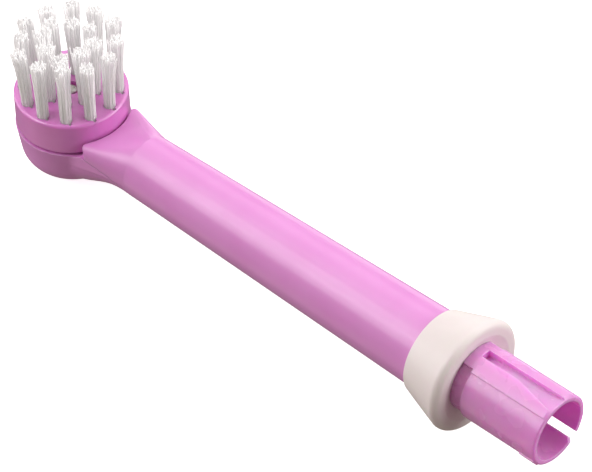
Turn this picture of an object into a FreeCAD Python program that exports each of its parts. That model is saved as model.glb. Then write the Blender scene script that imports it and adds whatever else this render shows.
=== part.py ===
import FreeCAD, Part
import math
import os
import re

import Sketcher
from FreeCAD import Placement, Rotation, Vector

# Round replacement head of a powered toothbrush, in millimetres.
# The stem lies along X. The origin is the centre of the plug's mouth, +X points out of the
# mouth towards the handle, +Z is the side that the bristles stand on. The disc turns about
# a vertical pivot at the far end, driven by a bent wire that slides along the stem.
# Clock angles on the plug are measured about +X, from +Z towards -Y.

SIZES = [
    # places along the axis, as distances from the mouth of the plug
    ("head_reach", 82.65, "to the axis of the disc"),
    ("neck_end", 69.35, "to the place where the neck becomes round"),
    ("collar_front", 20.05, "to the front edge of the collar"),
    ("collar_seat", 13.05, "to the rear face of the collar"),
    ("spigot_end", 14.35, "to the rear end of the stem"),
    ("plug_front", 11.65, "to the front of the plug's full diameter"),
    ("sleeve_front", 25.85, "to the front end of the plug's sleeve"),
    # brush disc, in heights above the stem's axis
    ("disc_radius", 7.5, "disc"),
    ("disc_base", 1.0, "underside of the disc"),
    ("disc_top", 5.67, "face that carries the tufts"),
    ("disc_edge", 0.4, "rounding of the disc's top edge"),
    ("disc_boss_radius", 1.55, "boss under the disc"),
    ("disc_boss_base", 0.25, "lower face of that boss"),
    ("pin_radius", 0.7, "pivot pin's shank"),
    ("pin_head_radius", 0.85, "pivot pin's head"),
    ("pin_head_height", 0.75, "pivot pin's head"),
    ("pin_play", 0.05, "clearance round and under the pin's head"),
    ("pin_end", 3.9, "depth of the pin's lower end below the axis"),
    ("recess_radius", 1.25, "recess round the pin's head"),
    ("recess_depth", 0.85, "recess round the pin's head"),
    # tufts and their anchors
    ("tuft_radius", 0.8, "tuft and its hole"),
    ("tuft_height", 9.0, "tuft above the disc"),
    ("tuft_depth", 2.4, "tuft hole"),
    ("outer_ring", 6.15, "radius of the outer ring of tufts"),
    ("outer_first", -51.0, "angle of its first tuft"),
    ("inner_ring", 3.2, "radius of the inner ring of tufts"),
    ("inner_first", -102.0, "angle of its first tuft"),
    ("anchor_width", 2.0, "anchor plate across the hole"),
    ("anchor_thickness", 0.25, "anchor plate"),
    ("anchor_height", 1.3, "anchor plate"),
    ("anchor_slot", 0.45, "width of the slot that the anchor was driven into"),
    ("anchor_angle", -10.0, "direction of every anchor"),
    ("anchor_shift", 0.15, "anchor off the middle of its hole"),
    # bowl under the disc
    ("bowl_radius", 7.6, "rim of the bowl"),
    ("bowl_foot", 6.74, "radius at the bottom, before rounding"),
    ("bowl_rim", 0.65, "height of the rim"),
    ("bowl_depth", 5.8, "depth of the bottom below the axis"),
    ("bowl_round", 3.1, "rounding of the bottom"),
    ("bowl_wall", 1.15, "wall of the bowl"),
    ("bowl_boss_radius", 1.6, "boss that holds the pin"),
    ("bowl_boss_top", 0.15, "height of that boss"),
    # neck
    ("disc_room", 7.78, "radius of the arc that the shoulder is cut to"),
    ("parting_gap", 0.1, "line between the neck and the back cover"),
    ("parting_rise", 5.4, "where that line leaves the bowl's rim, from the disc's axis"),
    ("parting_start", 6.6, "its highest point, at the shoulder's lower corner"),
    ("parting_height", 1.1, "height of that point"),
    ("parting_bend", 10.6, "where it begins to bend down"),
    ("parting_fall", -0.1, "height of that point"),
    ("parting_end", 12.6, "rear end of the back cover"),
    ("cover_fairing", 3.0, "rounding between the bowl and the neck"),
    ("shoulder_corner", 0.8, "rounding of the shoulder's upright corners"),
    ("channel_bottom", 1.5, "depth of the rod's channel below the axis"),
    ("channel_top", 1.3, "height of the rod's channel above the axis"),
    ("channel_half", 3.75, "half the width of the channel in the neck"),
    ("channel_narrow", 2.6, "half its width behind the bend of the rod"),
    ("channel_bend", 11.2, "end of the wide channel, from the disc's axis"),
    ("channel_end", 13.6, "end of the narrow channel, from the disc's axis"),
    # stem
    ("stem_front", 4.3, "radius of the stem at the neck"),
    ("stem_rear", 5.33, "radius of the stem at the collar"),
    ("spigot_radius", 4.75, "stem inside the collar"),
    ("bore_front", 2.4, "bore round the front guide"),
    ("bore_middle", 2.9, "bore between the guides"),
    ("bore_guide", 3.35, "bore round the rear guide"),
    ("sleeve_radius", 4.0, "bore round the plug's sleeve"),
    ("rod_opening", 1.3, "opening between the channel and the bore"),
    ("front_guide", 15.0, "front end of the front guide, from the disc's axis"),
    ("rear_guide", 41.0, "front end of the rear guide, from the disc's axis"),
    ("guide_length", 5.0, "both guides"),
    # drive rod and coupler
    ("rod_radius", 0.7, "wire"),
    ("rod_play", 0.06, "clearance of the wire in its guides"),
    ("crank_offset", 2.6, "crank pin to the disc's axis"),
    ("crank_top", 2.3, "height of the crank pin's end"),
    ("crank_play", 0.08, "clearance beside the crank pin"),
    ("crank_slot_depth", 1.5, "slot under the disc"),
    ("rod_bend_near", 8.5, "end of the sloping stretch, from the disc's axis"),
    ("rod_bend_far", 13.0, "its other end"),
    ("rod_bend_radius", 1.6, "bends of the wire"),
    ("rod_end", 12.75, "rear end of the wire, from the mouth"),
    ("coupler_radius", 3.3, "coupler"),
    ("coupler_front", 15.35, "front end of the coupler, from the mouth"),
    ("coupler_rear", 7.35, "rear end of the coupler, from the mouth"),
    ("socket_radius", 1.6, "socket for the handle's drive shaft"),
    ("socket_depth", 5.0, "that socket"),
    # collar
    ("collar_front_radius", 5.78, "front edge of the collar"),
    ("collar_radius", 8.05, "rear edge of the collar, before rounding"),
    ("collar_bulge", 0.02, "rise of its flank above a straight line"),
    ("collar_round", 0.9, "rounding of its rear edge"),
    ("collar_lip", 0.25, "rounding of its front edge"),
    ("dish_radius", 6.0, "inner edge of the collar's flat rear face"),
    ("dish_depth", 0.5, "hollow between that face and the plug"),
    # plug
    ("plug_radius", 4.8, "plug"),
    ("plug_neck", 4.45, "groove between the collar and the plug"),
    ("plug_bore", 4.1, "mouth of the plug"),
    ("plug_step", 7.75, "depth of that bore"),
    ("guide_bore", 3.35, "bore that the coupler slides in"),
    ("pad_radius", 5.0, "raised pad on the upper side"),
    ("pad_front", 11.75, "front of the pad, from the mouth"),
    ("bridge_front", 13.35, "front of the part of the pad that meets the collar"),
    ("bridge_span", 60.0, "angle that this part covers"),
    ("pad_span", 66.0, "angle that the pad covers"),
    ("pad_clock", 33.0, "clock angle of the pad's -Y edge"),
    ("key_width", 1.45, "keyway along the pad"),
    ("key_floor", 4.38, "height of the keyway's floor"),
    ("key_deep", 3.9, "height of the floor at the front end"),
    ("key_front", 12.0, "front of the keyway, from the mouth"),
    ("key_clock", -4.0, "clock angle of the keyway"),
    ("flare_front", 6.3, "start of the keyway's widening, from the mouth"),
    ("flare_width", 1.3, "widening at the mouth"),
    ("ramp_front", 2.4, "where the floor begins to rise to the rim, from the mouth"),
    ("slit_width", 1.1, "slit that lets the plug flex"),
    ("slit_length", 8.35, "that slit"),
    ("slit_clock", -137.5, "clock angle of the slit"),
    ("slit_corner", 0.5, "bevel of the corner beside the slit"),
    ("catch_rise", 0.14, "snap catch above the plug"),
    ("catch_width", 1.6, "snap catch"),
    ("catch_front", 2.5, "front of the catch, from the mouth"),
    ("catch_rear", 0.25, "rear of the catch, from the mouth"),
    ("catch_clock", 123.0, "clock angle of the catch"),
    ("mouth_bevel", 0.2, "bevel of the mouth's outer edge"),
]

# Cross-sections of the neck, from the disc's axis outwards: distance, half width, height of
# the flat top, radius of the top corners, depth of the rounded underside, and its fullness:
# 2 is an ellipse, more is squarer. After the last one the neck ends in the stem's own circle.
NECK_SECTIONS = [
    (3.0, 5.92, 2.80, 0.9, 5.60, 2.75),
    (7.0, 5.29, 2.80, 1.1, 4.95, 2.40),
    (10.2, 4.79, 3.15, 2.3, 3.90, 2.0),
]
# The circle is split at these angles, one piece for each side of a section.
CIRCLE_SPLITS = (110, 70, 6, -6, -174, -186, -250)

OUTER_TUFTS = 12
INNER_TUFTS = 8
# Cutting shapes reach this far past the part on every side.
BIG = 30.0
# points along the underside of one cross-section
UNDER_POINTS = 24

doc = FreeCAD.newDocument("brush_head")
sheet = doc.addObject("Spreadsheet::Sheet", "Sizes")
for row, (alias, number, meaning) in enumerate(SIZES, start=1):
    sheet.set(f"A{row}", meaning)
    sheet.set(f"B{row}", str(number))
    sheet.setAlias(f"B{row}", alias)
doc.recompute()


# ---------------------------------------------------------------- helpers

def size(alias):
    """The number in the sheet's cell of that name."""
    return float(sheet.get(alias))


ALIASES = {alias for alias, number, meaning in SIZES}


def in_sheet(formula):
    """The formula with every alias pointed at the sheet."""
    def pointed(word):
        return "Sizes." + word.group() if word.group() in ALIASES else word.group()
    return re.sub(r"[a-z_]+", pointed, formula)


def bind(thing, **formulas):
    """Bind properties of an object to formulas of the sheet's aliases."""
    for name, formula in formulas.items():
        thing.setExpression(name, in_sheet(formula))


def place(thing, x="0", y="0", z="0", turn=None):
    """Stand an object at a bound place, turned by a fixed rotation."""
    thing.Placement = Placement(Vector(), turn or Rotation())
    for letter, formula in (("x", x), ("y", y), ("z", z)):
        thing.setExpression(f"Placement.Base.{letter}", in_sheet(formula))
    return thing


ALONG_X = Rotation(Vector(0, 1, 0), 90)


def cylinder(name, radius, length, x="0", y="0", z="0", along_x=False):
    """A cylinder that starts at the given place and runs along +Z, or along +X."""
    thing = doc.addObject("Part::Cylinder", name)
    bind(thing, Radius=radius, Height=length)
    return place(thing, x, y, z, ALONG_X if along_x else None)


def block(name, x_from, x_to, half_width, z_from, z_to):
    """A box that is symmetric about the XZ plane."""
    thing = doc.addObject("Part::Box", name)
    bind(thing, Length=f"({x_to}) - ({x_from})", Width=f"2 * ({half_width})",
         Height=f"({z_to}) - ({z_from})")
    return place(thing, x_from, f"-({half_width})", z_from)


def turned(name, thing, clock):
    """The object turned about the X axis to a clock angle."""
    holder = doc.addObject("Part::Compound", name)
    holder.Links = [thing]
    holder.Placement = Placement(Vector(), Rotation(Vector(1, 0, 0), size(clock)))
    return holder


def fuse(name, *things):
    thing = doc.addObject("Part::MultiFuse", name)
    thing.Shapes = list(things)
    return thing


def common(name, one, other):
    thing = doc.addObject("Part::Common", name)
    thing.Base = one
    thing.Tool = other
    return thing


def cut(name, base, *tools):
    thing = doc.addObject("Part::Cut", name)
    thing.Base = base
    thing.Tool = tools[0] if len(tools) == 1 else fuse(name + "_tools", *tools)
    return thing


def new_body(name, x="0"):
    """A PartDesign body whose origin stands at x on the stem's axis."""
    return place(doc.addObject("PartDesign::Body", name), x)


def new_sketch(body, role, name, lift="0"):
    """A sketch on one of the body's origin planes, lifted along the plane's normal."""
    sketch = body.newObject("Sketcher::SketchObject", name)
    plane = next(item for item in body.Origin.OriginFeatures if item.Role == role)
    sketch.AttachmentSupport = [(plane, "")]
    sketch.MapMode = "FlatFace"
    sketch.setExpression("AttachmentOffset.Base.z", in_sheet(lift))
    return sketch


def hold(sketch, geometry, point, across, up):
    """Hold a point of the sketch at bound distances from its origin."""
    for kind, formula in (("DistanceX", across), ("DistanceY", up)):
        here = sketch.getPoint(geometry, point)
        now = here.x if kind == "DistanceX" else here.y
        if abs(now) < 1e-9:
            axis = -2 if kind == "DistanceX" else -1
            sketch.addConstraint(Sketcher.Constraint("PointOnObject", geometry, point, axis))
            continue
        index = sketch.addConstraint(
            Sketcher.Constraint(kind, -1, 1, geometry, point, now))
        sketch.setExpression(f"Constraints[{index}]", in_sheet(formula))


def evaluate(formula):
    """The value of a formula of aliases, worked out by the sheet itself."""
    return float(sheet.evalExpression(formula))


def outline(sketch, corners):
    """A closed outline of straight lines through corners given as pairs of formulas."""
    points = [Vector(evaluate(across), evaluate(up), 0) for across, up in corners]
    for index, point in enumerate(points):
        after = points[(index + 1) % len(points)]
        sketch.addGeometry(Part.LineSegment(point, after))
    for index in range(len(points)):
        after = (index + 1) % len(points)
        sketch.addConstraint(Sketcher.Constraint("Coincident", index, 2, after, 1))
    for index, (across, up) in enumerate(corners):
        hold(sketch, index, 1, across, up)


def circle(sketch, radius, across="0", up="0"):
    """A circle of bound radius at a bound place."""
    centre = Vector(evaluate(across), evaluate(up), 0)
    shape = Part.Circle(centre, Vector(0, 0, 1), evaluate(radius))
    index = sketch.addGeometry(shape)
    held = sketch.addConstraint(Sketcher.Constraint("Radius", index, evaluate(radius)))
    sketch.setExpression(f"Constraints[{held}]", in_sheet(radius))
    hold(sketch, index, 3, across, up)


def pad(body, sketch, name, length, downwards=False):
    feature = body.newObject("PartDesign::Pad", name)
    feature.Profile = sketch
    feature.Reversed = downwards
    bind(feature, Length=length)
    return feature


def pocket(body, sketch, name, depth, upwards=False):
    feature = body.newObject("PartDesign::Pocket", name)
    feature.Profile = sketch
    feature.Reversed = upwards
    bind(feature, Length=depth)
    return feature


def polar(body, feature, sketch, name, count):
    """Repeat a feature all round the sketch's normal."""
    pattern = body.newObject("PartDesign::PolarPattern", name)
    pattern.Originals = [feature]
    pattern.Axis = (sketch, ["N_Axis"])
    pattern.Angle = 360.0
    pattern.Occurrences = count
    body.Tip = pattern
    return pattern


def revolve(body, sketch, name, axis):
    """Turn a sketch once round its own H_Axis or V_Axis."""
    feature = body.newObject("PartDesign::Revolution", name)
    feature.Profile = sketch
    feature.ReferenceAxis = (sketch, [axis])
    feature.Angle = 360.0
    return feature


def circles_at(shape, radius, where):
    """Names of the circular edges of a radius whose centre passes a test."""
    names = []
    for index, edge in enumerate(shape.Edges, start=1):
        curve = edge.Curve
        if isinstance(curve, Part.Circle) and abs(curve.Radius - radius) < 0.02:
            if where(curve.Center):
                names.append(f"Edge{index}")
    return names


def round_edges(body, base, name, edges, radius):
    """Fillet the named edges of the body's last feature."""
    feature = body.newObject("PartDesign::Fillet", name)
    feature.Base = (base, edges)
    bind(feature, Radius=radius)
    doc.recompute()
    return feature


# ---------------------------------------------------------------- brush disc

def tuft_places(ring, first, count):
    """Centres of a ring of tufts, on the stem's own axes."""
    for number in range(count):
        turn = Rotation(Vector(0, 0, 1), size(first) + number * 360.0 / count)
        yield turn.multVec(Vector(size(ring), 0, 0)) + Vector(-size("head_reach"), 0, 0)


def plate_across(name, centre, thickness, base, top):
    """An upright plate across a tuft hole, in the direction of the anchors."""
    thing = doc.addObject("Part::Box", name)
    bind(thing, Length="anchor_width", Width=thickness, Height=f"({top}) - ({base})")
    turn = Rotation(Vector(0, 0, 1), size("anchor_angle"))
    corner = Vector(evaluate("anchor_shift - anchor_width / 2"), -evaluate(thickness) / 2, 0)
    place_at = Placement(Vector(centre.x, centre.y, evaluate(base)), turn)
    thing.Placement = place_at.multiply(Placement(corner, Rotation()))
    return thing


def make_tufts():
    """Every tuft with a slot for its anchor, the anchors, and the slots in the disc."""
    rings = (("outer", "outer_ring", "outer_first", OUTER_TUFTS),
             ("inner", "inner_ring", "inner_first", INNER_TUFTS))
    hole_base = "disc_top - tuft_depth"
    tufts, anchors, slots = [], [], []
    for ring_name, ring, first, count in rings:
        for number, centre in enumerate(tuft_places(ring, first, count), start=1):
            tag = f"{ring_name}_{number:02d}"
            anchor = plate_across("anchor_" + tag, centre, "anchor_thickness",
                                  hole_base, hole_base + " + anchor_height")
            slot = plate_across("slot_" + tag, centre, "anchor_slot", hole_base,
                                "disc_top + 1")
            bunch = doc.addObject("Part::Cylinder", "bunch_" + tag)
            bind(bunch, Radius="tuft_radius", Height="tuft_height + tuft_depth")
            bunch.Placement.Base = Vector(centre.x, centre.y, evaluate(hole_base))
            tufts.append(cut("tuft_" + tag, bunch, anchor))
            anchors.append(anchor)
            slots.append(slot)
    group = doc.addObject("Part::Compound", "tuft_anchors")
    group.Links = anchors
    return tufts, group, slots


def make_disc(slots):
    """The disc: tuft holes, pin hole and recess above, boss and crank slot below."""
    body = new_body("disc_body", "-head_reach")
    face = new_sketch(body, "XY_Plane", "disc_face", "disc_base")
    circle(face, "disc_radius")
    puck = pad(body, face, "disc_puck", "disc_top - disc_base")
    doc.recompute()
    top = size("disc_top")
    upper = circles_at(puck.Shape, size("disc_radius"), lambda c: abs(c.z - top) < 0.01)
    rounded = round_edges(body, puck, "disc_top_edge", upper, "disc_edge")
    lower = circles_at(rounded.Shape, size("disc_radius"),
                       lambda c: abs(c.z - size("disc_base")) < 0.01)
    round_edges(body, rounded, "disc_bottom_edge", lower, "disc_edge / 2")

    boss = new_sketch(body, "XY_Plane", "disc_boss_face", "disc_base")
    circle(boss, "disc_boss_radius")
    pad(body, boss, "disc_boss", "disc_base - disc_boss_base", downwards=True)

    for ring, first, count in (("outer_ring", "outer_first", OUTER_TUFTS),
                               ("inner_ring", "inner_first", INNER_TUFTS)):
        hole = new_sketch(body, "XY_Plane", ring + "_hole", "disc_top")
        circle(hole, "tuft_radius", f"{ring} * cos({first} * 1 deg)",
               f"{ring} * sin({first} * 1 deg)")
        one = pocket(body, hole, ring + "_pocket", "tuft_depth")
        polar(body, one, hole, ring + "_pattern", count)

    recess = new_sketch(body, "XY_Plane", "recess_face", "disc_top")
    circle(recess, "recess_radius")
    pocket(body, recess, "recess", "recess_depth")
    bore = new_sketch(body, "XY_Plane", "pin_bore_face", "disc_top")
    circle(bore, "pin_radius + pin_play")
    pocket(body, bore, "pin_bore", "disc_top - disc_boss_base + 1")

    slot = new_sketch(body, "XY_Plane", "crank_slot_face", "disc_base")
    side = "rod_radius + crank_play"
    near = "-(crank_offset - rod_radius - crank_play)"
    far = "-(crank_offset + rod_radius + 4 * crank_play)"
    outline(slot, [("-(" + side + ")", far), (side, far), (side, near), ("-(" + side + ")", near)])
    pocket(body, slot, "crank_slot", "crank_slot_depth", upwards=True)
    return cut("brush_disc", body, *slots)


def make_pin():
    """The pivot pin: a plain shank and a low crowned head."""
    body = new_body("pivot_pin", "-head_reach")
    profile = new_sketch(body, "XZ_Plane", "pin_profile")
    seat = "disc_top - recess_depth + pin_play"
    crown = seat + " + pin_head_height"
    outline(profile, [("0", "-pin_end"), ("pin_radius", "-pin_end"), ("pin_radius", seat),
                      ("pin_head_radius", seat), ("pin_head_radius", crown), ("0", crown)])
    turned_pin = revolve(body, profile, "pin_turned", "V_Axis")
    doc.recompute()
    height = evaluate(crown)
    edges = circles_at(turned_pin.Shape, size("pin_head_radius"), lambda c: abs(c.z - height) < 0.01)
    round_edges(body, turned_pin, "pin_crown", edges, "pin_head_height / 2")
    return body


# ---------------------------------------------------------------- neck, stem and back cover

def make_bowl(name, inset):
    """The bowl's outside, or with an inset its inside, turned about the disc's axis."""
    body = new_body(name, "-head_reach")
    profile = new_sketch(body, "XZ_Plane", name + "_profile")
    low = f"-(bowl_depth - {inset})"
    high = "bowl_rim" if inset == "0" else "bowl_rim + 1"
    outline(profile, [("0", low), (f"bowl_foot - {inset}", low),
                      (f"bowl_radius - {inset}", high), ("0", high)])
    shell = revolve(body, profile, name + "_turned", "V_Axis")
    doc.recompute()
    foot = evaluate(f"bowl_foot - {inset}")
    edges = circles_at(shell.Shape, foot, lambda c: c.z < 0)
    round_edges(body, shell, name + "_foot", edges, f"bowl_round - {inset}")
    return body


def underside(half, depth, fullness):
    """A rounded underside from +Y to -Y: an ellipse, or squarer with more fullness."""
    points = []
    for index in range(UNDER_POINTS + 1):
        angle = math.pi * index / UNDER_POINTS
        across = abs(math.cos(angle)) ** (2 / fullness) * math.copysign(half, math.cos(angle))
        down = math.sin(angle) ** (2 / fullness) * depth if 0 < index < UNDER_POINTS else 0.0
        points.append(Vector(across, -down, 0))
    curve = Part.BSplineCurve()
    curve.interpolate(Points=points, InitialTangent=Vector(0, -1, 0), FinalTangent=Vector(0, 1, 0))
    return curve


def neck_section(body, number, reach, half, top, corner, depth, fullness):
    """One cross-section: a flat top with round corners, short sides and a round underside."""
    sketch = new_sketch(body, "YZ_Plane", f"neck_section_{number}", str(reach))
    flat = half - corner
    shoulder = top - corner
    up = Vector(0, 0, 1)
    right = Part.Circle(Vector(flat, shoulder, 0), up, corner)
    left = Part.Circle(Vector(-flat, shoulder, 0), up, corner)
    quarter = math.pi / 2
    sketch.addGeometry([
        Part.LineSegment(Vector(-flat, top, 0), Vector(flat, top, 0)),
        Part.ArcOfCircle(right, 0, quarter),
        Part.LineSegment(Vector(half, shoulder, 0), Vector(half, 0, 0)),
        underside(half, depth, fullness),
        Part.LineSegment(Vector(-half, 0, 0), Vector(-half, shoulder, 0)),
        Part.ArcOfCircle(left, quarter, 2 * quarter),
    ])
    return sketch


def stem_circle(body):
    """The stem's first circle, in as many pieces as a section has sides."""
    sketch = new_sketch(body, "YZ_Plane", "neck_circle", "head_reach - neck_end")
    whole = Part.Circle(Vector(), Vector(0, 0, 1), size("stem_front"))
    for start, end in zip(CIRCLE_SPLITS, CIRCLE_SPLITS[1:]):
        sketch.addGeometry(Part.ArcOfCircle(whole, math.radians(end), math.radians(start)))
    return sketch


def make_neck():
    """The neck's outside, lofted from the wide shoulder to the round stem."""
    body = new_body("neck_shape", "-head_reach")
    sections = [neck_section(body, number, *section)
                for number, section in enumerate(NECK_SECTIONS, start=1)]
    loft = body.newObject("PartDesign::AdditiveLoft", "neck_loft")
    loft.Profile = sections[0]
    loft.Sections = sections[1:] + [stem_circle(body)]
    loft.Ruled = False
    return body


def below_parting(name, lift):
    """Everything below the parting line between the back cover and the neck."""
    body = new_body(name, "-head_reach")
    profile = new_sketch(body, "XZ_Plane", name + "_profile")
    rim = size("bowl_rim") + lift
    bend = Vector(size("parting_bend"), size("parting_fall") + lift, 0)
    start = Vector(size("parting_start"), size("parting_height") + lift, 0)
    end = size("parting_end") + lift
    # the bend is an arc that leaves the sloping line smoothly and ends upright
    slope = (bend - start).normalize()
    radius = (end - bend.x) / (1 + slope.y)
    centre = bend + Vector(slope.y, -slope.x, 0) * radius
    arc = Part.Circle(centre, Vector(0, 0, 1), radius)
    bend_angle = math.atan2(bend.y - centre.y, bend.x - centre.x)
    corners = [Vector(end, centre.y, 0), Vector(end, -BIG / 2, 0), Vector(-BIG / 2, -BIG / 2, 0),
               Vector(-BIG / 2, rim, 0), Vector(size("parting_rise"), rim, 0), start, bend]
    for one, two in zip(corners, corners[1:]):
        profile.addGeometry(Part.LineSegment(one, two))
    profile.addGeometry(Part.ArcOfCircle(arc, 0, bend_angle))
    slab = body.newObject("PartDesign::Pad", name + "_slab")
    slab.Profile = profile
    slab.Midplane = True
    slab.Length = BIG
    return body


def rod_channel(name):
    """The space in the neck that the bent end of the rod moves in."""
    wide = block(name + "_wide", "-head_reach", "channel_bend - head_reach", "channel_half",
                 "-channel_bottom", "channel_top")
    narrow = block(name + "_narrow", "channel_bend - head_reach - 1", "channel_end - head_reach",
                   "channel_narrow", "-channel_bottom", "channel_top")
    return fuse(name, wide, narrow)


def round_corner(name, side):
    """What is cut off one upright corner of the shoulder to round it in plan."""
    radius = size("shoulder_corner")
    first, second = NECK_SECTIONS[0], NECK_SECTIONS[1]
    slope = (second[1] - first[1]) / (second[0] - first[0])
    # the rounding's centre is one radius outside the disc's arc and one inside the neck's flank
    away = size("disc_room") + radius
    x = away
    for step in range(20):
        y = first[1] + slope * (x - first[0]) - radius * math.hypot(1, slope)
        x = math.sqrt(away ** 2 - y ** 2)
    centre = Vector(x, side * y, 0)
    on_arc = centre * (size("disc_room") / away)
    flank_normal = Vector(-slope, side, 0).normalize()
    on_flank = centre + flank_normal * radius
    outside = on_flank + flank_normal
    tip = Vector(on_arc.x - 2 * radius, side * (abs(on_flank.y) + radius), 0)
    corner = Part.makePolygon([centre, on_arc, tip, outside, on_flank, centre])
    prism = Part.Face(corner).extrude(Vector(0, 0, 2 * size("disc_top")))
    post = Part.makeCylinder(radius, 2 * size("disc_top"), centre)
    wedge = doc.addObject("Part::Feature", name)
    wedge.Shape = prism.cut(post)
    wedge.Placement = Placement(Vector(-size("head_reach"), 0, -size("disc_top")), Rotation())
    return wedge


def make_stem(neck, channel):
    """The stem: neck, long cone and spigot, bored in steps from its rear end."""
    cone = doc.addObject("Part::Cone", "stem_cone")
    bind(cone, Radius1="stem_front", Radius2="stem_rear", Height="neck_end - collar_front")
    place(cone, "-neck_end", turn=ALONG_X)
    spigot = cylinder("stem_spigot", "spigot_radius", "collar_front - spigot_end + 1",
                      "-collar_front - 1", along_x=True)
    outside = fuse("stem_outside", neck, cone, spigot)
    disc_side = cylinder("disc_side", "disc_room", "30", "-head_reach", z="-15")
    front = "front_guide - head_reach"
    rear = "rear_guide - head_reach"
    opening = cylinder("bore_opening", "rod_opening", "4", f"{front} - 3", along_x=True)
    first = cylinder("bore_one", "bore_front", "guide_length + 1", front, along_x=True)
    second = cylinder("bore_two", "bore_middle", "rear_guide - front_guide - guide_length + 1",
                      f"{front} + guide_length", along_x=True)
    third = cylinder("bore_three", "bore_guide", f"-({rear}) - sleeve_front + 1", rear, along_x=True)
    last = cylinder("bore_four", "sleeve_radius", "sleeve_front + 1", "-sleeve_front - 0.2",
                    along_x=True)
    under = below_parting("cover_side", size("parting_gap"))
    corners = [round_corner("corner_left", 1), round_corner("corner_right", -1)]
    return cut("stem_body", outside, disc_side, *corners, channel, opening, first, second, third,
               last, under)


def shared_edges(shape, one, other):
    """Numbers of the shape's edges that lie on the skins of both other shapes."""
    numbers = []
    for number, edge in enumerate(shape.Edges, start=1):
        middle = edge.valueAt((edge.FirstParameter + edge.LastParameter) / 2)
        point = Part.Vertex(middle)
        if all(point.distToShape(skin)[0] < 0.001 for skin in one.Shells + other.Shells):
            numbers.append(number)
    return numbers


def make_cover(neck, channel):
    """The back cover: a bowl under the disc that runs into a tongue under the neck."""
    bowl = make_bowl("bowl_outside", "0")
    hollow = make_bowl("bowl_inside", "bowl_wall")
    sharp = fuse("cover_sharp", bowl, neck)
    doc.recompute()
    outside = doc.addObject("Part::Fillet", "cover_outside")
    outside.Base = sharp
    radius = size("cover_fairing")
    rim = size("bowl_rim")
    crease = [number for number in shared_edges(sharp.Shape, bowl.Shape, neck.Shape)
              if sharp.Shape.Edges[number - 1].CenterOfMass.z < rim - 0.01]
    outside.Edges = [(number, radius, radius) for number in crease]
    under = below_parting("cover_limit", 0.0)
    lower = common("cover_lower", outside, under)
    disc_side = cylinder("cover_disc_side", "disc_room", "30", "-head_reach", z="bowl_rim")
    shell = cut("cover_shell", lower, hollow, channel, disc_side)
    floor = "-(bowl_depth - bowl_wall)"
    boss = cylinder("cover_boss", "bowl_boss_radius", f"bowl_boss_top - ({floor}) + 0.3",
                    "-head_reach", z=f"{floor} - 0.3")
    hole = cylinder("cover_pin_hole", "pin_radius", "bowl_boss_top + pin_end + 1",
                    "-head_reach", z="-pin_end")
    return cut("head_back_cover", fuse("cover_with_boss", shell, boss), hole)


# ---------------------------------------------------------------- drive rod, guides, coupler

def bent_path(route, radii):
    """A wire of straight runs through the route, with an arc of its own radius at each corner."""
    edges = []
    start = route[0]
    for before, corner, after, radius in zip(route, route[1:], route[2:], radii):
        back_in = (before - corner).normalize()
        back_out = (after - corner).normalize()
        half = back_in.getAngle(back_out) / 2
        setback = radius / math.tan(half)
        inwards = (back_in + back_out).normalize()
        nearest = corner + inwards * (radius / math.sin(half) - radius)
        arc_start = corner + back_in * setback
        arc_end = corner + back_out * setback
        edges.append(Part.LineSegment(start, arc_start).toShape())
        edges.append(Part.Arc(arc_start, nearest, arc_end).toShape())
        start = arc_end
    edges.append(Part.LineSegment(start, route[-1]).toShape())
    return Part.Wire(edges)


def make_rod():
    """The bent wire: straight in its guides, stepped sideways, with its end turned up."""
    reach = size("head_reach")
    offset = size("crank_offset")
    bend = size("rod_bend_radius")
    upturn = size("rod_radius") * 1.1
    route = [
        Vector(-size("rod_end"), 0, 0),
        Vector(size("rod_bend_far") - reach, 0, 0),
        Vector(size("rod_bend_near") - reach, -offset, 0),
        Vector(-reach, -offset, 0),
        Vector(-reach, -offset, size("crank_top")),
    ]
    spine = bent_path(route, [bend, bend, upturn])
    section = Part.Wire([Part.makeCircle(size("rod_radius"), route[0], Vector(1, 0, 0))])
    rod = doc.addObject("Part::Feature", "drive_rod")
    rod.Shape = spine.makePipeShell([section], True, False)
    return rod


def make_guide(label, bore, front):
    """A plain bush pressed into the stem, with the wire sliding in it."""
    start = f"{front} - head_reach"
    outside = cylinder(label + "_outside", bore, "guide_length", start, along_x=True)
    inside = cylinder(label + "_inside", "rod_radius + rod_play", "guide_length + 2",
                      f"{start} - 1", along_x=True)
    return cut(label, outside, inside)


def make_coupler():
    """The slide on the wire's rear end, with a socket for the handle's drive shaft."""
    body = new_body("drive_coupler")
    profile = new_sketch(body, "XZ_Plane", "coupler_profile")
    outline(profile, [("-coupler_front", "rod_radius"), ("-coupler_front", "coupler_radius"),
                      ("-coupler_rear", "coupler_radius"), ("-coupler_rear", "socket_radius"),
                      ("-coupler_rear - socket_depth", "socket_radius"),
                      ("-coupler_rear - socket_depth", "rod_radius")])
    shell = revolve(body, profile, "coupler_turned", "H_Axis")
    doc.recompute()
    ends = circles_at(shell.Shape, size("coupler_radius"), lambda centre: True)
    round_edges(body, shell, "coupler_ends", ends, "0.3")
    return body


# ---------------------------------------------------------------- collar and plug

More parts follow.
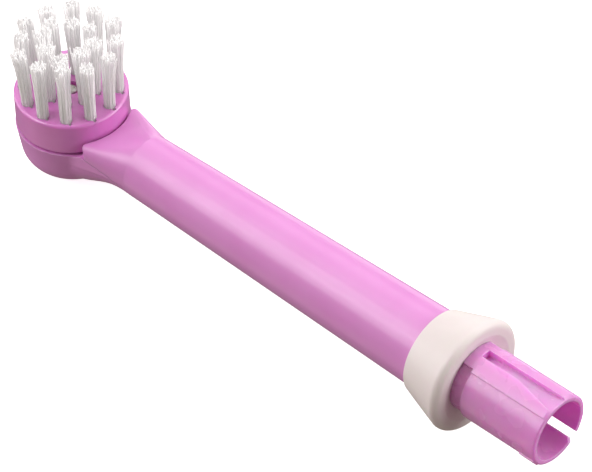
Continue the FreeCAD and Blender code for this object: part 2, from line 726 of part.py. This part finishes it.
def make_collar():
    """The flared collar that fills the step between the stem and the handle."""
    body = new_body("collar_ring")
    profile = new_sketch(body, "XZ_Plane", "collar_profile")
    front, seat, end = size("collar_front"), size("collar_seat"), size("spigot_end")
    dish = seat + size("dish_depth")
    front_radius, rear_radius = size("collar_front_radius"), size("collar_radius")
    middle = Vector(-(front + seat) / 2, (front_radius + rear_radius) / 2 + size("collar_bulge"), 0)
    flank_start = Vector(-front, front_radius, 0)
    flank_end = Vector(-seat, rear_radius, 0)
    profile.addGeometry(Part.Arc(flank_start, middle, flank_end))
    points = [flank_end, Vector(-seat, size("dish_radius"), 0), Vector(-dish, size("plug_neck"), 0),
              Vector(-end, size("plug_neck"), 0), Vector(-end, size("spigot_radius"), 0),
              Vector(-front, size("spigot_radius"), 0), flank_start]
    for one, two in zip(points, points[1:]):
        profile.addGeometry(Part.LineSegment(one, two))
    ring = revolve(body, profile, "collar_turned", "H_Axis")
    doc.recompute()
    rear = circles_at(ring.Shape, rear_radius, lambda centre: True)
    rounded = round_edges(body, ring, "collar_rear_edge", rear, "collar_round")
    lip = circles_at(rounded.Shape, front_radius, lambda centre: True)
    round_edges(body, rounded, "collar_front_edge", lip, "collar_lip")
    return body


def plug_sector(name, front, span):
    """A sector of the pad's radius that ends at the pad's far edge, on the upper side."""
    sector = doc.addObject("Part::Cylinder", name)
    bind(sector, Radius="pad_radius", Height=front, Angle=span)
    # the sector of a cylinder laid along X starts at -Z, so half a turn brings it to +Z
    start = Rotation(Vector(1, 0, 0), size("pad_clock") - size("pad_span") + 180)
    return place(sector, f"-{front}", turn=start.multiply(ALONG_X))


def make_keyway():
    """What is cut for the keyway: straight, then wider on one side, with a ramp up to the rim."""
    plan = new_body("key_plan")
    seen_from_above = new_sketch(plan, "XY_Plane", "key_plan_outline")
    half = "key_width / 2"
    flare = "flare_width * (flare_front + 1) / flare_front"
    outline(seen_from_above, [("-key_front", half), ("-key_front", f"-{half}"),
                              ("-flare_front", f"-{half}"), ("1", f"-{half} - {flare}"),
                              ("1", half)])
    pad(plan, seen_from_above, "key_plan_pad", "pad_radius * 2")
    side = new_body("key_side")
    seen_from_side = new_sketch(side, "XZ_Plane", "key_side_outline")
    rise = "(plug_radius - mouth_bevel - key_floor) * (ramp_front + 1) / ramp_front"
    outline(seen_from_side, [("-key_front - 1", "key_deep"), ("-key_front", "key_deep"),
                             ("-plug_step", "key_floor"), ("-ramp_front", "key_floor"),
                             ("1", f"key_floor + {rise}"), ("1", "pad_radius * 2 - 1"),
                             ("-key_front - 1", "pad_radius * 2 - 1")])
    slab = pad(side, seen_from_side, "key_side_pad", "pad_radius * 2")
    slab.Midplane = True
    return turned("keyway", common("key_block", plan, side), "key_clock")


def make_slit():
    """What is cut for the slit, with one corner bevelled where it meets the mouth."""
    body = new_body("slit_block")
    plan = new_sketch(body, "XY_Plane", "slit_outline", "guide_bore / 2")
    half = "slit_width / 2"
    outline(plan, [("-slit_length", half), ("-slit_length", f"-{half}"), ("1", f"-{half}"),
                   ("1", f"{half} + slit_corner + 1"), ("-slit_corner", half)])
    pad(body, plan, "slit_pad", "plug_radius")
    return turned("slit", body, "slit_clock")


def make_plug():
    """The plug that snaps into the handle: pad and keyway above, slit and catch below."""
    body = cylinder("plug_body", "plug_radius", "plug_front", "-plug_front", along_x=True)
    neck = cylinder("plug_neck_part", "plug_neck", "spigot_end - plug_front + 1", "-spigot_end",
                    along_x=True)
    sleeve = cylinder("plug_sleeve", "sleeve_radius", "sleeve_front - spigot_end + 1",
                      "-sleeve_front", along_x=True)
    raised = plug_sector("plug_pad", "pad_front", "pad_span")
    bridge = plug_sector("plug_bridge", "bridge_front", "bridge_span")
    outside = fuse("plug_outside", body, neck, sleeve, raised, bridge)
    limit = new_body("plug_limit")
    profile = new_sketch(limit, "XZ_Plane", "plug_limit_profile")
    outline(profile, [("-sleeve_front - 1", "0"), ("-sleeve_front - 1", "pad_radius + 1"),
                      ("-mouth_bevel - 1", "pad_radius + 1"),
                      ("0", "plug_radius - mouth_bevel"), ("0", "0")])
    revolve(limit, profile, "plug_limit_turned", "H_Axis")
    bevelled = common("plug_bevelled", outside, limit)

    bore = cylinder("plug_mouth", "plug_bore", "plug_step + 1", "-plug_step", along_x=True)
    guide = cylinder("plug_guide", "guide_bore", "sleeve_front + 2", "-sleeve_front - 1", along_x=True)
    hollowed = cut("plug_hollowed", bevelled, bore, guide, make_keyway(), make_slit())
    catch = block("catch_block", "-catch_front", "-catch_rear", "catch_width / 2",
                  "(plug_radius + plug_bore) / 2", "plug_radius + catch_rise")
    return fuse("coupling_plug", hollowed, turned("catch", catch, "catch_clock"))


# ---------------------------------------------------------------- build and write

def build():
    """Every sub-part, in the order it would be put together."""
    neck = make_neck()
    channel = rod_channel("rod_channel")
    tufts, anchors, slots = make_tufts()
    return [
        make_stem(neck, channel),
        make_cover(neck, channel),
        make_pin(),
        make_disc(slots),
        anchors,
        *tufts,
        make_guide("front_guide_bush", "bore_front", "front_guide"),
        make_guide("rear_guide_bush", "bore_guide", "rear_guide"),
        make_rod(),
        make_coupler(),
        make_collar(),
        make_plug(),
    ]


pieces = build()
doc.recompute()

faults = [thing.Name for thing in doc.Objects if {"Invalid", "Error"} & set(thing.State)]
if faults:
    raise RuntimeError("failed objects: " + ", ".join(faults))
for piece in pieces:
    if piece.Shape.isNull() or not piece.Shape.isValid():
        raise RuntimeError("bad shape: " + piece.Label)

os.makedirs("parts", exist_ok=True)
for piece in pieces:
    piece.Shape.exportStep(f"parts/{piece.Label}.step")
    box = piece.Shape.BoundBox
    print(f"{piece.Label:18} solids {len(piece.Shape.Solids):2} volume {piece.Shape.Volume:9.2f}"
          f"  x {box.XMin:7.2f} {box.XMax:7.2f}  y {box.YMin:6.2f} {box.YMax:6.2f}"
          f"  z {box.ZMin:6.2f} {box.ZMax:6.2f}")
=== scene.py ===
"""Looks of the powered-toothbrush head.

Moulded orchid-pink plastic, an ivory collar, and nylon tufts on an oscillating disc.
"""

import math
import random

import bmesh
import bpy
from mathutils import Matrix, Vector


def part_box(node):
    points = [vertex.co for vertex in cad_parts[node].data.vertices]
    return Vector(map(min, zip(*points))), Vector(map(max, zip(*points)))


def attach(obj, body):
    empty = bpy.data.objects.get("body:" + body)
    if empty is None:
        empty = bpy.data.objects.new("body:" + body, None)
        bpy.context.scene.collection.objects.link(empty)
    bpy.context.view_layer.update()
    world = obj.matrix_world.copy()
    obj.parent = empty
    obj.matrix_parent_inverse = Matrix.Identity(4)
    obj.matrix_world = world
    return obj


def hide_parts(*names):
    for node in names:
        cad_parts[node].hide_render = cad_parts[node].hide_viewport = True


MM = 0.001
# sockets of a colour Mix node
MIX_SHARE, MIX_FIRST, MIX_SECOND, MIX_COLOUR = 0, 6, 7, 2

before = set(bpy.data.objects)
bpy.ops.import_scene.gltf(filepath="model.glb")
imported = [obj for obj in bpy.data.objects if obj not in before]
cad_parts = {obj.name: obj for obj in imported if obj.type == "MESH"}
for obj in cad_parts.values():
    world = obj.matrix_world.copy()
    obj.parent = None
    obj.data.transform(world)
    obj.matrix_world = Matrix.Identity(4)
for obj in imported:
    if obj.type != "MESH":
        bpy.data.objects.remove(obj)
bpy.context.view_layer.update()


# ---------------------------------------------------------------- materials


class Nodes:
    """One material's node tree, with short calls for the nodes used here."""

    def __init__(self, name):
        self.material = bpy.data.materials.new(name)
        self.material.use_nodes = True
        self.tree = self.material.node_tree
        self.shader = self.tree.nodes["Principled BSDF"]
        self.place = self.tree.nodes.new("ShaderNodeTexCoord").outputs["Object"]

    def add(self, kind, inputs=(), **settings):
        node = self.tree.nodes.new(kind)
        for key, value in settings.items():
            setattr(node, key, value)
        for socket, value in dict(inputs).items():
            if isinstance(value, bpy.types.NodeSocket):
                self.tree.links.new(value, node.inputs[socket])
            else:
                node.inputs[socket].default_value = value
        return node

    def stretched(self, scale):
        """Object coordinates scaled per axis: a pattern grows longer along the axis of least scale."""
        return self.add("ShaderNodeMapping", {"Vector": self.place, "Scale": scale}).outputs[0]

    def noise(self, size, detail=2.0, rough=0.5, place=None):
        """Cloudy noise whose features are about size metres across."""
        inputs = {
            "Vector": place or self.place,
            "Scale": 1.0 / size,
            "Detail": detail,
            "Roughness": rough,
        }
        return self.add("ShaderNodeTexNoise", inputs).outputs["Fac"]

    def ramp(self, value, low, high, start=0.0, end=1.0):
        """A smooth step from start to end, as value goes from low to high."""
        inputs = {"Value": value, "From Min": low, "From Max": high, "To Min": start, "To Max": end}
        node = self.add("ShaderNodeMapRange", inputs, interpolation_type="SMOOTHSTEP")
        return node.outputs["Result"]

    def mix(self, share, first, second):
        """The colour first where share is 0 and second where it is 1."""
        colours = [c if isinstance(c, bpy.types.NodeSocket) else (*c, 1.0) for c in (first, second)]
        inputs = {MIX_SHARE: share, MIX_FIRST: colours[0], MIX_SECOND: colours[1]}
        return self.add("ShaderNodeMix", inputs, data_type="RGBA").outputs[MIX_COLOUR]

    def edges(self, radius, most):
        """How close a point is to a sharp edge, from 0 to most, within about radius metres."""
        rounded = self.add("ShaderNodeBevel", {"Radius": radius}, samples=8).outputs["Normal"]
        flat = self.add("ShaderNodeNewGeometry").outputs["Normal"]
        product = self.add("ShaderNodeVectorMath", {0: rounded, 1: flat}, operation="DOT_PRODUCT")
        return self.ramp(product.outputs["Value"], 0.80, 0.985, most, 0.0)

    def bump(self, height, depth, normal=None):
        """A normal from a height of 0 to 1, whose full depth is depth metres."""
        inputs = {"Height": height, "Distance": depth, "Strength": 1.0}
        if normal is not None:
            inputs["Normal"] = normal
        return self.add("ShaderNodeBump", inputs).outputs["Normal"]

    def finish(self, **values):
        names = {name.lower().replace(" ", "_"): name for name in self.shader.inputs.keys()}
        for key, value in values.items():
            socket = self.shader.inputs[names[key]]
            if isinstance(value, bpy.types.NodeSocket):
                self.tree.links.new(value, socket)
            else:
                socket.default_value = value
        return self.material


def moulded(
    name,
    colour,
    deep,
    roughness,
    spread,
    peel,
    grain,
    edge,
    glow,
    reach=0.9 * MM,
    specular=0.62,
    edge_highlight=0.5,
    coat=0.0,
):
    """Moulded plastic with clouded colour, faint flow lines, uneven gloss and edges painted paler as a
    painted highlight.

    deep is the colour in its deeper clouds, spread how far the roughness strays, peel and grain
    the depths of the two bumps, edge the radius of a softened edge, glow and reach how much
    light enters the plastic and how far it goes, and edge_highlight how much paler an edge is painted,
    as a painted highlight.
    """
    n = Nodes(name)
    cloud = n.noise(7 * MM, detail=3.0)
    flow = n.noise(2.2 * MM, detail=2.0, place=n.stretched((0.12, 1.0, 1.0)))
    speck = n.noise(0.16 * MM, detail=1.0)
    shade = n.mix(n.ramp(cloud, 0.35, 0.68), colour, deep)
    pale = tuple(min(1.0, 1.05 * c + 0.01) for c in colour)
    shade = n.mix(n.ramp(flow, 0.45, 0.80, 0.0, 0.2), shade, pale)
    shade = n.mix(n.ramp(speck, 0.60, 0.78, 0.0, 0.15), shade, pale)
    # painted highlight: sharp edges are painted paler, standing for the light that rounded edges catch
    painted_edge_highlight = tuple(c + 0.55 * (1.0 - c) for c in colour)
    shade = n.mix(n.edges(0.13 * MM, edge_highlight), shade, painted_edge_highlight)
    smear = n.noise(4 * MM, detail=2.0)
    gloss = n.ramp(smear, 0.3, 0.7, roughness - spread, roughness + spread)
    rounded = n.add("ShaderNodeBevel", {"Radius": edge}, samples=4).outputs["Normal"]
    skin = n.bump(n.noise(0.9 * MM, detail=1.0), peel, rounded)
    skin = n.bump(n.noise(0.12 * MM, detail=2.0), grain, skin)
    return n.finish(
        base_color=shade,
        roughness=gloss,
        normal=skin,
        specular_ior_level=specular,
        coat_weight=coat,
        coat_roughness=0.22,
        subsurface_weight=glow,
        subsurface_radius=(1.0, 0.35, 0.8),
        subsurface_scale=reach,
    )


def metal(name, colour, tarnish, roughness, lines):
    """Drawn or turned wire: fine lines round the axis, faint tarnish and scratches."""
    n = Nodes(name)
    drawn = n.noise(0.25 * MM, detail=3.0, place=n.stretched(lines))
    stain = n.noise(0.6 * MM, detail=3.0)
    shade = n.mix(n.ramp(stain, 0.42, 0.72, 0.0, 0.7), colour, tarnish)
    gloss = n.ramp(drawn, 0.3, 0.7, roughness - 0.08, roughness + 0.12)
    skin = n.bump(drawn, 0.004 * MM)
    return n.finish(base_color=shade, metallic=1.0, roughness=gloss, normal=skin)


def nylon(name):
    """Translucent nylon. Each filament has its own whiteness; the top is painted whiter, as painted
    light, and glows most.

    The faint glow is painted light, standing for the light that real nylon passes from filament to
    filament.
    """
    n = Nodes(name)
    own = n.add("ShaderNodeAttribute", attribute_name="filament").outputs["Fac"]
    height = n.add("ShaderNodeAttribute", attribute_name="height").outputs["Fac"]
    whiteness = n.mix(n.ramp(own, 0.0, 1.0), (0.84, 0.84, 0.82), (0.96, 0.96, 0.95))
    # painted light: the filaments are painted whiter towards their top
    painted_whiter_top = n.mix(n.ramp(height, 0.55, 1.0), whiteness, (0.97, 0.965, 0.965))
    # painted glow: an emission that grows towards the top, standing for light passed through the nylon
    inner_light = n.mix(n.ramp(height, 0.2, 1.0), (0.05, 0.049, 0.048), (0.10, 0.095, 0.097))
    ribs = n.noise(0.3 * MM, detail=2.0, place=n.stretched((1.0, 1.0, 0.1)))
    gloss = n.ramp(ribs, 0.3, 0.7, 0.28, 0.46)
    skin = n.bump(ribs, 0.01 * MM)
    return n.finish(
        base_color=painted_whiter_top,
        roughness=gloss,
        normal=skin,
        subsurface_weight=1.0,
        subsurface_radius=(1.0, 1.0, 1.0),
        subsurface_scale=0.5 * MM,
        emission_color=inner_light,
        emission_strength=1.0,
    )


PLASTICS = {
    "shell": moulded(
        "shell_plastic",
        colour=(0.80, 0.32, 0.72),
        deep=(0.785, 0.30, 0.70),
        roughness=0.24,
        spread=0.025,
        peel=0.0012 * MM,
        grain=0.0005 * MM,
        edge=0.2 * MM,
        glow=0.15,
    ),
    # a darker, deeper pink than the shell: painted shade standing for the disc's dimly lit side
    "disc": moulded(
        "disc_plastic",
        colour=(0.77, 0.225, 0.66),
        deep=(0.755, 0.21, 0.64),
        roughness=0.33,
        spread=0.04,
        peel=0.001 * MM,
        grain=0.0005 * MM,
        edge=0.2 * MM,
        glow=0.35,
        reach=1.4 * MM,
        specular=1.0,
        coat=0.8,
    ),
    # a slightly paler pink than the shell: painted sheen standing for the whitish gloss on the plug's
    # top
    "plug": moulded(
        "plug_plastic",
        colour=(0.82, 0.35, 0.73),
        deep=(0.805, 0.33, 0.71),
        roughness=0.27,
        spread=0.015,
        peel=0.0008 * MM,
        grain=0.0005 * MM,
        edge=0.15 * MM,
        glow=0.9,
        reach=1.6 * MM,
        specular=0.8,
        edge_highlight=0.3,
    ),
    "collar": moulded(
        "collar_plastic",
        colour=(0.87, 0.80, 0.79),
        deep=(0.85, 0.775, 0.765),
        roughness=0.42,
        spread=0.04,
        peel=0.002 * MM,
        grain=0.001 * MM,
        edge=0.2 * MM,
        glow=0.1,
        edge_highlight=0.2,
    ),
    "acetal": moulded(
        "acetal_plastic",
        colour=(0.82, 0.82, 0.80),
        deep=(0.78, 0.78, 0.75),
        roughness=0.4,
        spread=0.05,
        peel=0.003 * MM,
        grain=0.0006 * MM,
        edge=0.1 * MM,
        glow=0.1,
    ),
}
STEEL = metal("turned_steel", (0.62, 0.61, 0.58), (0.42, 0.40, 0.34), 0.3, (1.0, 1.0, 0.2))
WIRE = metal("drawn_wire", (0.64, 0.63, 0.61), (0.5, 0.48, 0.44), 0.28, (0.1, 1.0, 1.0))
BRASS = metal("anchor_brass", (0.72, 0.52, 0.24), (0.42, 0.28, 0.12), 0.35, (1.0, 1.0, 0.3))
NYLON = nylon("nylon_filament")

FINISHES = {
    "stem_body": PLASTICS["shell"],
    "head_back_cover": PLASTICS["shell"],
    "brush_disc": PLASTICS["disc"],
    "coupling_plug": PLASTICS["plug"],
    "collar_ring": PLASTICS["collar"],
    "front_guide_bush": PLASTICS["acetal"],
    "rear_guide_bush": PLASTICS["acetal"],
    "drive_coupler": PLASTICS["acetal"],
    "pivot_pin": STEEL,
    "drive_rod": WIRE,
    "tuft_anchors": BRASS,
}
for node_name, material in FINISHES.items():
    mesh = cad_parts[node_name].data
    mesh.materials.clear()
    mesh.materials.append(material)


# ------------------------------------------------------------------- tufts

BRISTLE_SEED = 29
FILAMENT_RADIUS = 0.1 * MM
FILAMENTS = 62
SIDES = 6
TIP_SHARE = 0.55
GOLDEN_ANGLE = math.pi * (3.0 - math.sqrt(5.0))
# where a filament's rings lie, as shares of its length
HEIGHTS = (0.0, 0.3, 0.45, 0.58, 0.7, 0.82, 0.92, 0.985, 1.0)
STRAY_SHARE = 0.07
STRAY_CURL = 2.4


def filament_path(foot, out, lean, spread, curl, length):
    """Points up one filament.

    It rises straight, then drifts with its tuft's lean, away from the tuft's middle and with
    its own curl.
    """
    points = []
    for share in HEIGHTS:
        bend = share * share
        drift = lean * bend + out * (spread * bend) + curl * (bend * share)
        points.append(foot + drift + Vector((0.0, 0.0, length * share)))
    return points


def add_filament(mesh, values, points, radius, own):
    """One filament as a tube with a narrowed tip, and its values for each new vertex."""
    rings = []
    for index, point in enumerate(points):
        share = HEIGHTS[index]
        width = radius * (TIP_SHARE if index == len(points) - 1 else 1.0)
        ring = []
        for side in range(SIDES):
            angle = 2.0 * math.pi * side / SIDES
            corner = point + Vector((math.cos(angle), math.sin(angle), 0.0)) * width
            ring.append(mesh.verts.new(corner))
            values.append((own, share))
        rings.append(ring)
    for low, high in zip(rings, rings[1:]):
        for side in range(SIDES):
            after = (side + 1) % SIDES
            mesh.faces.new((low[side], low[after], high[after], high[side]))
    mesh.faces.new(list(reversed(rings[0])))
    mesh.faces.new(rings[-1])


def make_tuft(node_name, middle, rng):
    """A tuft of loose filaments: it fills its CAD cylinder at the foot and frays at the top."""
    low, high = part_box(node_name)
    foot = Vector(((low.x + high.x) / 2, (low.y + high.y) / 2, low.z))
    radius = (high.x - low.x) / 2 - FILAMENT_RADIUS
    height = high.z - low.z
    outward = foot - middle
    outward.z = 0.0
    outward.normalize()
    lean = outward * rng.uniform(0.0, 0.55) * MM
    lean += Vector((rng.gauss(0.0, 0.22), rng.gauss(0.0, 0.22), 0.0)) * MM
    flare = rng.uniform(0.3, 0.7)
    mesh = bmesh.new()
    values = []
    for index in range(FILAMENTS):
        reach = radius * math.sqrt((index + 0.5) / FILAMENTS)
        angle = index * GOLDEN_ANGLE + rng.uniform(-0.12, 0.12)
        out = Vector((math.cos(angle), math.sin(angle), 0.0))
        stray = 1.0 if rng.random() > STRAY_SHARE else STRAY_CURL
        curl = Vector((rng.gauss(0.0, 0.13), rng.gauss(0.0, 0.13), 0.0)) * (stray * MM)
        length = height - abs(rng.gauss(0.0, 0.32)) * MM + rng.uniform(-0.05, 0.12) * MM
        path = filament_path(foot + out * reach, out, lean, flare * reach, curl, length)
        add_filament(mesh, values, path, FILAMENT_RADIUS * rng.uniform(0.88, 1.08), rng.random())
    data = bpy.data.meshes.new(node_name + "_bristles")
    mesh.to_mesh(data)
    mesh.free()
    for number, attribute in enumerate(("filament", "height")):
        layer = data.attributes.new(attribute, "FLOAT", "POINT")
        layer.data.foreach_set("value", [pair[number] for pair in values])
    data.shade_smooth()
    data.materials.append(NYLON)
    tuft = bpy.data.objects.new(node_name + "_bristles", data)
    bpy.context.scene.collection.objects.link(tuft)
    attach(tuft, "brush")
    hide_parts(node_name)


disc_low, disc_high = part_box("brush_disc")
disc_middle = (disc_low + disc_high) / 2
bristle_rng = random.Random(BRISTLE_SEED)
for ring_name, count in (("outer", 12), ("inner", 8)):
    for number in range(1, count + 1):
        make_tuft(f"tuft_{ring_name}_{number:02d}", disc_middle, bristle_rng)


# ------------------------------------------------------- floor, light, camera

FLOOR_SIZE = 2.4
FLOOR_GAP = 0.02 * MM
FLOOR_GLOW = 0.8


def make_floor():
    """A plain pale surface, tilted to touch the lowest points of the bowl and of the collar."""
    cover_low, cover_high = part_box("head_back_cover")
    collar_low, collar_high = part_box("collar_ring")
    front = Vector((disc_middle.x, 0.0, cover_low.z - FLOOR_GAP))
    back = Vector(((collar_low.x + collar_high.x) / 2, 0.0, collar_low.z - FLOOR_GAP))
    bpy.ops.mesh.primitive_plane_add(size=FLOOR_SIZE)
    floor = bpy.context.object
    floor.name = "floor"
    slope = math.atan2(front.z - back.z, back.x - front.x)
    floor.rotation_euler = (0.0, slope, 0.0)
    floor.location = (front + back) / 2
    n = Nodes("floor_paper")
    cloud = n.ramp(n.noise(30 * MM, detail=3.0), 0.3, 0.7)
    tone = n.mix(cloud, (0.90, 0.90, 0.90), (0.93, 0.93, 0.93))
    paper = n.finish(
        base_color=tone,
        roughness=0.8,
        emission_color=(1.0, 1.0, 1.0, 1.0),
        emission_strength=FLOOR_GLOW,
    )
    floor.data.materials.append(paper)
    # the head is lit by the lights alone, not by what bounces off the paper
    floor.visible_diffuse = False
    floor.visible_glossy = False
    floor.visible_shadow = False


def softbox(name, target, direction, distance, size, radiance, colour=(1.0, 1.0, 1.0)):
    """A rectangular soft light that faces target from a direction, as bright as radiance says."""
    data = bpy.data.lights.new(name, "AREA")
    data.shape = "RECTANGLE"
    data.size, data.size_y = size
    data.energy = radiance * math.pi * size[0] * size[1]
    data.color = colour
    light = bpy.data.objects.new(name, data)
    light.location = target + direction.normalized() * distance
    light.rotation_mode = "QUATERNION"
    light.rotation_quaternion = direction.to_track_quat("Z", "Y")
    light.visible_camera = False
    bpy.context.scene.collection.objects.link(light)


STEM_MIDDLE = Vector((-45 * MM, 0.0, 0.0))
LIGHT_DISTANCE = 0.9
WIDE = (1.4, 0.39)
STRIP = (0.4, 0.36)
WARM = (1.0, 0.80, 0.70)
# long soft lights round the stem: clock angle and radiance of each, and their common tip
WIDE_LIGHTS = ((-100.0, 1.0), (-75.0, 0.3), (-50.0, 1.2), (-25.0, 0.85), (0.0, 0.8))
WIDE_TIP = -0.25
# a strip in three steps, whose reflection runs along the stem
STRIP_LIGHTS = ((8.0, 1.4), (30.0, 3.5), (52.0, 3.0))
STRIP_TIP = -0.56
# single lights: direction, size and radiance
END_LIGHT = (Vector((1.0, 0.7, 0.5)), (0.9, 0.6), 3.5)
HEAD_LIGHT = (Vector((-1.0, -0.35, 0.15)), (0.6, 0.6), 2.0)
FILL_CLOCK, FILL_RADIANCE = 130.0, 0.36
WORLD_COLOUR = (1.0, 0.86, 0.78, 1.0)
WORLD_STRENGTH = 0.24


def across_stem(clock, lengthwise):
    """A direction at a clock angle from the top towards the near side, tipped along the stem."""
    angle = math.radians(clock)
    return Vector((lengthwise, -math.sin(angle), math.cos(angle)))


def stem_light(name, direction, size, radiance, colour=(1.0, 1.0, 1.0)):
    """A softbox at the common distance that faces the middle of the stem."""
    softbox(name, STEM_MIDDLE, direction, LIGHT_DISTANCE, size, radiance, colour)


def make_lights():
    """Soft lights over and behind the head, a strip along the stem, one at each end and a fill."""
    for number, (clock, radiance) in enumerate(WIDE_LIGHTS, start=1):
        stem_light(f"wide_light_{number}", across_stem(clock, WIDE_TIP), WIDE, radiance)
    for number, (clock, radiance) in enumerate(STRIP_LIGHTS, start=1):
        stem_light(f"strip_light_{number}", across_stem(clock, STRIP_TIP), STRIP, radiance)
    stem_light("end_light", *END_LIGHT)
    stem_light("head_light", *HEAD_LIGHT)
    stem_light("fill_light", across_stem(FILL_CLOCK, WIDE_TIP), WIDE, FILL_RADIANCE, WARM)
    world = bpy.data.worlds.new("studio")
    world.use_nodes = True
    background = world.node_tree.nodes["Background"]
    background.inputs["Color"].default_value = WORLD_COLOUR
    background.inputs["Strength"].default_value = WORLD_STRENGTH
    bpy.context.scene.world = world


CAMERA_AIM = Vector((-46.27 * MM, 3.39 * MM, 0.0))
CAMERA_DISTANCE = 506.23 * MM
CAMERA_AZIMUTH = math.radians(44.16)
CAMERA_ELEVATION = math.radians(45.14)
CAMERA_ROLL = math.radians(-2.007)
CAMERA_LENS = 243.24
CAMERA_CLIP = (0.01, 10.0)


def make_camera():
    """A long-lens camera over the plug's end of the head, looking down along it."""
    level = math.cos(CAMERA_ELEVATION)
    across, along = math.sin(CAMERA_AZIMUTH) * level, -math.cos(CAMERA_AZIMUTH) * level
    back = Vector((across, along, math.sin(CAMERA_ELEVATION)))
    right = Vector((0.0, 0.0, 1.0)).cross(back).normalized()
    up = back.cross(right)
    turn = Matrix.Rotation(CAMERA_ROLL, 3, back)
    right, up = turn @ right, turn @ up
    data = bpy.data.cameras.new("camera")
    data.lens = CAMERA_LENS
    data.clip_start, data.clip_end = CAMERA_CLIP
    camera = bpy.data.objects.new("camera", data)
    pose = Matrix((right, up, back)).transposed().to_4x4()
    pose.translation = CAMERA_AIM + back * CAMERA_DISTANCE
    camera.matrix_world = pose
    bpy.context.scene.collection.objects.link(camera)
    bpy.context.scene.camera = camera


make_floor()
make_lights()
make_camera()
bpy.context.scene.view_settings.view_transform = "Standard"
